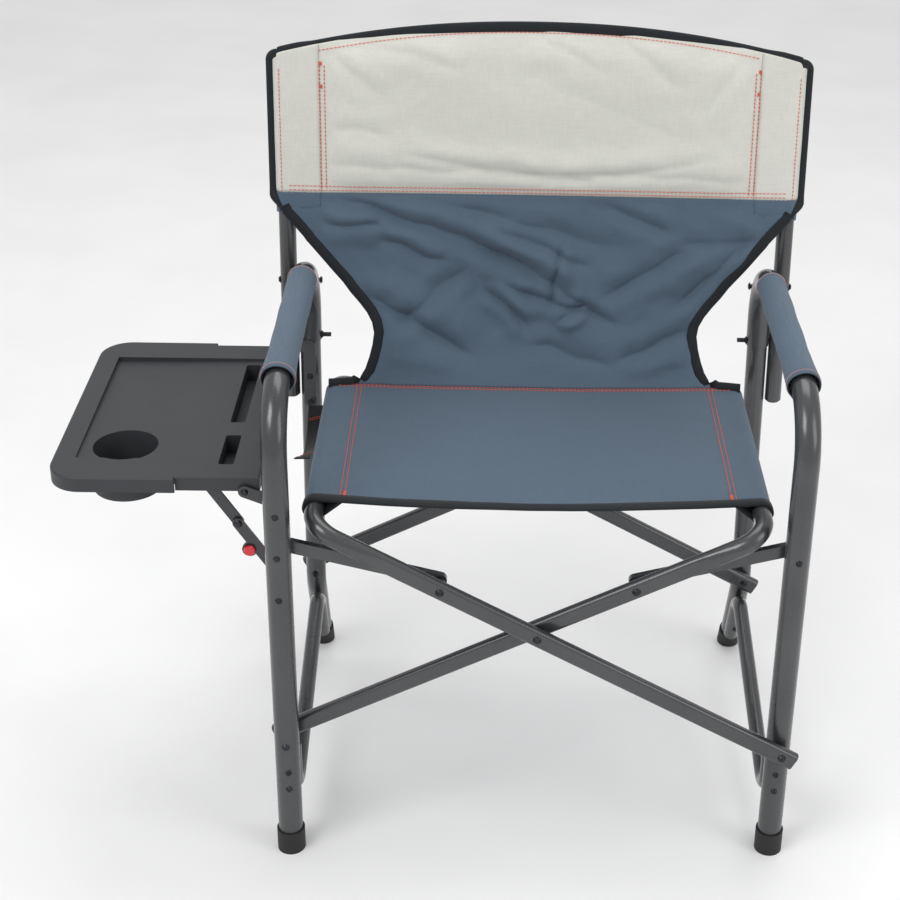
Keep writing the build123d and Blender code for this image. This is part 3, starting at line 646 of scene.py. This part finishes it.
# The lower cloth: half width at each height, from the seam, past its shoulders, to the seat.
OUTLINE = [
    (0.712, STITCH_X), (0.6935, STITCH_X), (0.6930, 0.331), (0.684, 0.326), (0.672, 0.315), (0.655, 0.301),
    (0.634, 0.283), (0.612, 0.264), (0.598, 0.251), (0.585, 0.241),
    (0.572, 0.229), (0.560, 0.219), (0.548, 0.212),
    (0.535, 0.209), (0.520, 0.211), (0.505, 0.215), (0.492, 0.220), (0.482, 0.227), (0.476, 0.240),
]
SHOULDER_Z, WIDE_Z, BREAK_Z = 0.6935, 0.6928, 0.655     # shoulders, and where the cloth leaves the posts


def half_width(z):
    for (z1, w1), (z2, w2) in zip(OUTLINE, OUTLINE[1:]):
        if z >= z2:
            return mix(w1, w2, (z1 - z) / (z1 - z2))
    return OUTLINE[-1][1]


break_y = on_post(0, BREAK_Z, FACE).y


def lower_point(x, z):
    """A point of the lower cloth, creased, and settled onto the seat's rear edge."""
    wide = half_width(min(z, WIDE_Z))
    if z >= BREAK_Z:
        base = on_post(x, z, FACE)
    else:
        t = (BREAK_Z - z) / (BREAK_Z - SEAT_REAR_Z)
        base = Vector((x, break_y - (0.26 * t + 0.74 * t * t) * (break_y - SEAT_BACK + 0.002), z))
    free = smooth((SEAM_Z - z) / 0.02) * smooth((z - 0.478) / 0.03)
    inside = smooth((wide - abs(x)) / 0.03)
    bulge = -0.008 * (1 - min(1.0, abs(x) / wide) ** 2) * free
    creases = folds(x, z, LOWER_FOLDS) * free * (0.25 + 0.75 * inside)
    depth = bulge + 1.7 * creases + crumple(x, z, 0.0024, 8.4) * free * inside
    if abs(x) < STITCH_X:
        depth -= bow(x) * (1 - free) * smooth((z - 0.6) / 0.1)
    point = base + FORWARD * depth
    point.z += smooth((0.50 - z) / 0.024) * (seat_top(x * 0.98, SEAT_BACK, 0.0006).z - SEAT_REAR_Z)
    return point


heights = []
for (z1, w1), (z2, w2) in zip(OUTLINE, OUTLINE[1:]):
    steps = max(1, round((z1 - z2) / 0.0033))
    heights += [mix(z1, z2, k / steps) for k in range(steps)]
heights.append(SEAT_REAR_Z)


def lower_row(z):
    """Above the shoulders the row keeps their columns, and stops at the pad's edge."""
    w = half_width(z)
    span = half_width(WIDE_Z) if z > WIDE_Z else w
    return run(-span, span, 180, lambda x: lower_point(max(-w, min(w, x)), z))


slate_rows = [lower_row(z) for z in heights]
slate_cloth = welded_piece("back_slate_cloth", slate_rows, back_weave, TAPE_T)
squashed.append(slate_cloth)


def tape_along(name, points, centre, body=None, width=0.0096, thick=0.0056):
    """Binding along an outline: its width points towards centre(point), across its run."""
    inward, outward = [], []
    for i, p in enumerate(points):
        along = (points[min(i + 1, len(points) - 1)] - points[max(i - 1, 0)]).normalized()
        way = FORWARD.cross(along).normalized()
        if way.dot(centre(p) - p) < 0:
            way = -way
        inward.append(way)
        outward.append(along.cross(way).normalized())
    return sweep(name, points, inward, outward, width, thick, binding_tape, body)


def panel_middle(p):
    return on_post(0, 0.79, 0)


def cutout_middle(p):
    return Vector((0, p.y, 0.60))


def side_edge(side):
    """The binding's run up one side of the back, round its corner and in along the top."""
    def up(z):
        x = side * mix(0.331, SIDE_X + EDGE_OUT, smooth((z - 0.689) / 0.018))
        return on_post(x, z, mix(FACE * 0.8, 0.002, smooth((z - 0.689) / 0.03)))

    def round_corner(t):
        a = math.pi / 2 * t
        x = SIDE_X + EDGE_OUT - (CORNER_R + EDGE_OUT) * (1 - math.cos(a))
        z = CORNER_Z - CORNER_R + (CORNER_R + TOP_OUT) * math.sin(a)
        return on_post(side * x, z, mix(0.002, TOP_DEPTH, smooth(t)))

    def in_along_top(x):
        return on_post(side * x, arch(x) + mix(0.001, TOP_OUT, smooth((x - STITCH_X) / 0.03)), TOP_DEPTH)

    points = run(0.687, CORNER_Z - CORNER_R, 60, up)
    points += [round_corner(k / 7) for k in range(1, 8)]
    points += run(SIDE_X - CORNER_R - 0.001, STITCH_X - 0.0005, 16, in_along_top)
    return points


def cutout_edge(side):
    """The edge of a cut-out, with a tail along the seat's rear edge."""
    points = [lower_point(side * half_width(z), z) for z in heights if z < SHOULDER_Z]
    tail = points[-1]
    points += [tail + Vector((side * 0.006 * k, -0.0015 * k, 0.0002 * k)) for k in range(1, 6)]
    return points


for side in SIDES:
    tag = SIDE[side]
    tape_along(f"back_binding_{tag}", side_edge(side), panel_middle, BODY[side])
    squashed.append(tape_along(f"back_cutout_binding_{tag}", cutout_edge(side), cutout_middle))
top_edge = run(-STITCH_X, STITCH_X, 90, lambda x: on_post(x, arch(x) + 0.001, TOP_DEPTH))
squashed.append(tape_along("back_top_binding", top_edge, panel_middle))


def on_pad(x, z, lift):
    return on_post(x, z, cream_front(x, z) + lift)


SEAM_ROWS = (SEAM_Z + 0.0035, SEAM_Z + 0.009)
TOP_ROW_DOWN = 0.0085
pad_lines, seam_lines = [], []
for side in SIDES:
    for offset in (0.0, 0.0062):
        x = side * (STITCH_X - 0.0015 - offset)
        pad_lines.append((run(SEAM_Z + 0.006, arch(x) - 0.022, 40, lambda z: on_pad(x, z, 0.0006)), FORWARD))
    for level in (0.852, arch(STITCH_X) - 0.0225):
        for k in range(4):
            z = level - k * 0.0012
            ends = [(x, cream_front(x, z) + 0.0008) for x in (STITCH_X - 0.001, STITCH_X - 0.0085)]
            pad_lines.append(([on_post(side * x, z, depth) for x, depth in ends], FORWARD))
for z in SEAM_ROWS:
    seam_lines.append((run(-STITCH_X, STITCH_X, 120, lambda x: on_pad(x, z, 0.0005)), FORWARD))
top_row = run(-STITCH_X, STITCH_X, 120, lambda x: on_pad(x, arch(x) - TOP_ROW_DOWN, 0.0005))
seam_lines.append((top_row, FORWARD))
squashed.append(stitches("back_pad_stitches", pad_lines, orange_thread))
squashed.append(stitches("back_seam_stitches", seam_lines, orange_thread, 0.0005))
for side in SIDES:
    side_lines = []
    for z in SEAM_ROWS:
        ends = [on_post(side * x, z, FACE + 0.0012) for x in (STITCH_X, POST_X - 0.002)]
        side_lines.append((ends, FORWARD))
    x = side * (POST_X + 0.0045)
    upright = run(SEAM_Z, CORNER_Z - 0.012, 20, lambda z: on_post(x, z, FACE - 0.0002))
    side_lines.append((upright, FORWARD))
    name = f"back_side_stitches_{SIDE[side]}"
    stitches(name, side_lines, orange_thread, 0.0005, body=BODY[side])

for obj in squashed:
    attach(obj, "left_frame")
    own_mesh(obj)
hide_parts("back_fabric")

# ------------------------------------------------------------------ arm covers
ARM_TUBE_R, ARM_BEND = 0.015, 0.075
COVER_START = 0.014                     # the cloth's front end, behind the front of its solid
COVER_R, COVER_FLARE, FLARE_RUN = 0.0177, 0.0017, 0.055
FLAP_T, FLAP_DROP = 0.0017, 0.0318      # half thickness and depth of the sewn edge below the tube
COVER_ROWS = 60


def tube_line(x, top, y):
    """The armrest tube's axis at y, and the way out across its top."""
    if y >= ARM_BEND:
        return Vector((x, y, top)), Vector((0, 0, 1))
    a = math.asin((ARM_BEND - y) / ARM_BEND)
    return Vector((x, y, top - ARM_BEND * (1 - math.cos(a)))), Vector((0, -math.sin(a), math.cos(a)))


def cover_section(y, y0, side):
    """The cloth round the tube and down to its sewn edge, as (across, up) from the tube's axis."""
    r = COVER_R + COVER_FLARE * smooth((y0 + FLARE_RUN - y) / FLARE_RUN)
    drop = FLAP_DROP + 0.0012 * math.sin(y * 31 + side)
    turn = math.pi / 2 + math.asin((r - FLAP_T) / (drop - FLAP_T))

    def on_tube(a):
        ripple = 0.0007 * noise.noise(Vector((y * 24, a, side * 2.0)))
        return Vector((math.sin(a), math.cos(a))) * (r + ripple)

    arc = run(-turn, turn, 32, on_tube)
    end_l, end_r = Vector((-FLAP_T, -(drop - FLAP_T))), Vector((FLAP_T, -(drop - FLAP_T)))
    seam = Vector((0, -drop))
    left_run = [end_l] + [end_l.lerp(arc[0], k / 6) for k in range(1, 6)]
    right_run = [arc[-1].lerp(end_r, k / 6) for k in range(1, 6)] + [end_r]
    return [seam] + left_run + arc + right_run + [seam]


def lining(name, row, way, body):
    """A dark hem just inside the end of a cover."""
    loop = row[:-1]
    heart = sum(loop, Vector()) / len(loop)
    verts = []
    for shift, grow in ((0.0, 0.99), (0.0005, 0.945), (0.012, 0.945)):
        verts += [heart + (p - heart) * grow + way * shift for p in loop]
    hem = piece(name, verts, grid_faces(3, len(loop), close=True), lining_weave, 0.0008, body)


for side in SIDES:
    tag = SIDE[side]
    low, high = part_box(f"{tag}_arm_cover")
    x, axis_z = (low.x + high.x) / 2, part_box(f"{tag}_side_tube")[1].z - ARM_TUBE_R
    y0, y1 = low.y + COVER_START, high.y

    rows = []
    for i in range(COVER_ROWS + 1):
        y = mix(y0, y1, i / COVER_ROWS)
        middle, up = tube_line(x, axis_z, y)
        rows.append([middle + Vector((p.x, 0, 0)) + up * p.y for p in cover_section(y, y0, side)])
    cover = sheet_piece(f"arm_cover_cloth_{tag}", rows, arm_weave, TAPE_T, body=BODY[side])
    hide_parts(f"{tag}_arm_cover")
    lining(f"arm_cover_lining_{tag}_front", rows[0], BACKWARD, BODY[side])
    lining(f"arm_cover_lining_{tag}_back", rows[-1], -BACKWARD, BODY[side])

    threads = []
    for y in (y0 + 0.007, y1 - 0.007):
        i = round((y - y0) / (y1 - y0) * COVER_ROWS)
        middle, up = tube_line(x, axis_z, mix(y0, y1, i / COVER_ROWS))
        for a, b in zip(rows[i][3:-4], rows[i][4:-3]):
            normal = ((a + b) / 2 - middle).normalized()
            threads.append(([a + normal * 0.001, b + normal * 0.001], normal))
    name = f"arm_cover_stitches_{tag}"
    hem_stitches = stitches(name, threads, pink_thread, 0.00045, pitch=0.0023, body=BODY[side])
    length_of(rows[30])

# ------------------------------------------------------------------ table strap
# The strap's line inside its solid's box, as shares of the box's depth and height.
STRAP_LINE = [
    (1.0, 0.47), (0.90, 0.25), (0.77, 0.06), (0.60, 0.02),
    (0.44, 0.14), (0.27, 0.45), (0.14, 0.72), (0.0, 0.95),
]
STRAP_W, STRAP_HALF = 0.021, 0.0105 * 0.96
low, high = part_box("table_strap")
mid_x = (low.x + high.x) / 2
knots = [Vector((mid_x, mix(low.y, high.y, a), mix(low.z, high.z, b))) for a, b in STRAP_LINE]
strap_line = []
for i in range(len(knots) - 1):
    p0, p1, p2, p3 = knots[max(i - 1, 0)], knots[i], knots[i + 1], knots[min(i + 2, len(knots) - 1)]
    slope, bend, twist = p2 - p0, 2 * p0 - 5 * p1 + 4 * p2 - p3, 3 * p1 - p0 - 3 * p2 + p3
    for k in range(8):
        t = k / 8
        strap_line.append(0.5 * (2 * p1 + slope * t + bend * t * t + twist * t ** 3))
strap_line.append(knots[-1])
rows = []
for i, p in enumerate(strap_line):
    twist = 0.5 * math.sin(i / len(strap_line) * math.pi)
    across = Vector((math.cos(twist), 0, math.sin(twist)))
    rows.append([p + across * (STRAP_HALF * (k / 5 - 1)) for k in range(11)])
strap = sheet_piece("table_strap_webbing", rows, webbing, 0.0016, body="left_frame")
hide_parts("table_strap")
bars = []
for i in (8, 9, 40, 41, 42):
    bars.append(([rows[i][1] + UP * 0.0013, rows[i][9] + UP * 0.0013], UP))
tack = stitches("table_strap_bartacks", bars, orange_thread, 0.0007, pitch=0.0030, body="left_frame")
strap_size = (STRAP_W, length_of(strap_line))


# ------------------------------------------------------------------ sizes and areas of the soft pieces
def cloth_area(grid):
    area = 0.0
    for r1, r2 in zip(grid, grid[1:]):
        for a, b, c, d in zip(r1, r1[1:], r2[1:], r2):
            area += ((b - a).cross(c - a).length + (c - a).cross(d - a).length) / 2
    return area


seat_size = (length_of(seat_rows[30]), SEAT_BACK - SEAT_FRONT)
slate_size = (0.662, 0.262)
slate_area = min(slate_size[0] * slate_size[1], cloth_area(slate_rows))

# ------------------------------------------------------------------ floor, light, camera
floor_shader = Shader("studio_floor", 0.85)
floor_shader.colour(floor_shader.ramp(floor_shader.noise(3, 4), (0.86, 0.86, 0.86), (0.9, 0.9, 0.9)))
floor_corners = [(-6, -5, 0), (6, -5, 0), (6, 7, 0), (-6, 7, 0)]
floor = piece("floor", floor_corners, [(0, 1, 2, 3)], floor_shader.material)
world = bpy.data.worlds.new("studio")
bpy.context.scene.world = world
world.use_nodes = True
sky = world.node_tree.nodes["Background"]
sky.inputs["Color"].default_value = (1.0, 1.0, 1.0, 1)
sky.inputs["Strength"].default_value = 0.74


def softbox(name, place, target, size, power):
    data = bpy.data.lights.new(name, "AREA")
    data.shape, data.size, data.size_y, data.energy = "RECTANGLE", size[0], size[1], power
    lamp = bpy.data.objects.new(name, data)
    lamp.location = place
    lamp.rotation_euler = (Vector(target) - Vector(place)).to_track_quat("-Z", "Y").to_euler()
    bpy.context.scene.collection.objects.link(lamp)


softbox("key", (-1.6, -1.4, 2.6), (0, 0.2, 0.5), (1.4, 1.4), 34)
softbox("fill", (2.2, -1.2, 1.6), (0, 0.2, 0.5), (1.2, 1.8), 16)
softbox("top", (0.2, 0.9, 2.8), (0, 0.2, 0.4), (2.0, 1.2), 20)

# The camera looks down at the chair from in front, turned a little to the viewer's right.
yaw, pitch, roll = (math.radians(a) for a in (2.47, 26.24, -1.87))
ahead = Vector((math.sin(yaw) * math.cos(pitch), math.cos(yaw) * math.cos(pitch), -math.sin(pitch)))
flat_right = Vector((math.cos(yaw), -math.sin(yaw), 0))
flat_down = ahead.cross(flat_right)
right = flat_right * math.cos(roll) + flat_down * math.sin(roll)
down = flat_down * math.cos(roll) - flat_right * math.sin(roll)
lens = bpy.data.cameras.new("camera")
lens.sensor_width, lens.lens = 36.0, 71.34
lens.shift_x, lens.shift_y = -0.122, -0.1
camera = bpy.data.objects.new("camera", lens)
bpy.context.scene.collection.objects.link(camera)
turn = Matrix((right, -down, -ahead)).transposed().to_4x4()
camera.matrix_world = Matrix.Translation((-0.0589, -1.7465, 1.5458)) @ turn
bpy.context.scene.camera = camera
bpy.context.scene.view_settings.view_transform = "Standard"
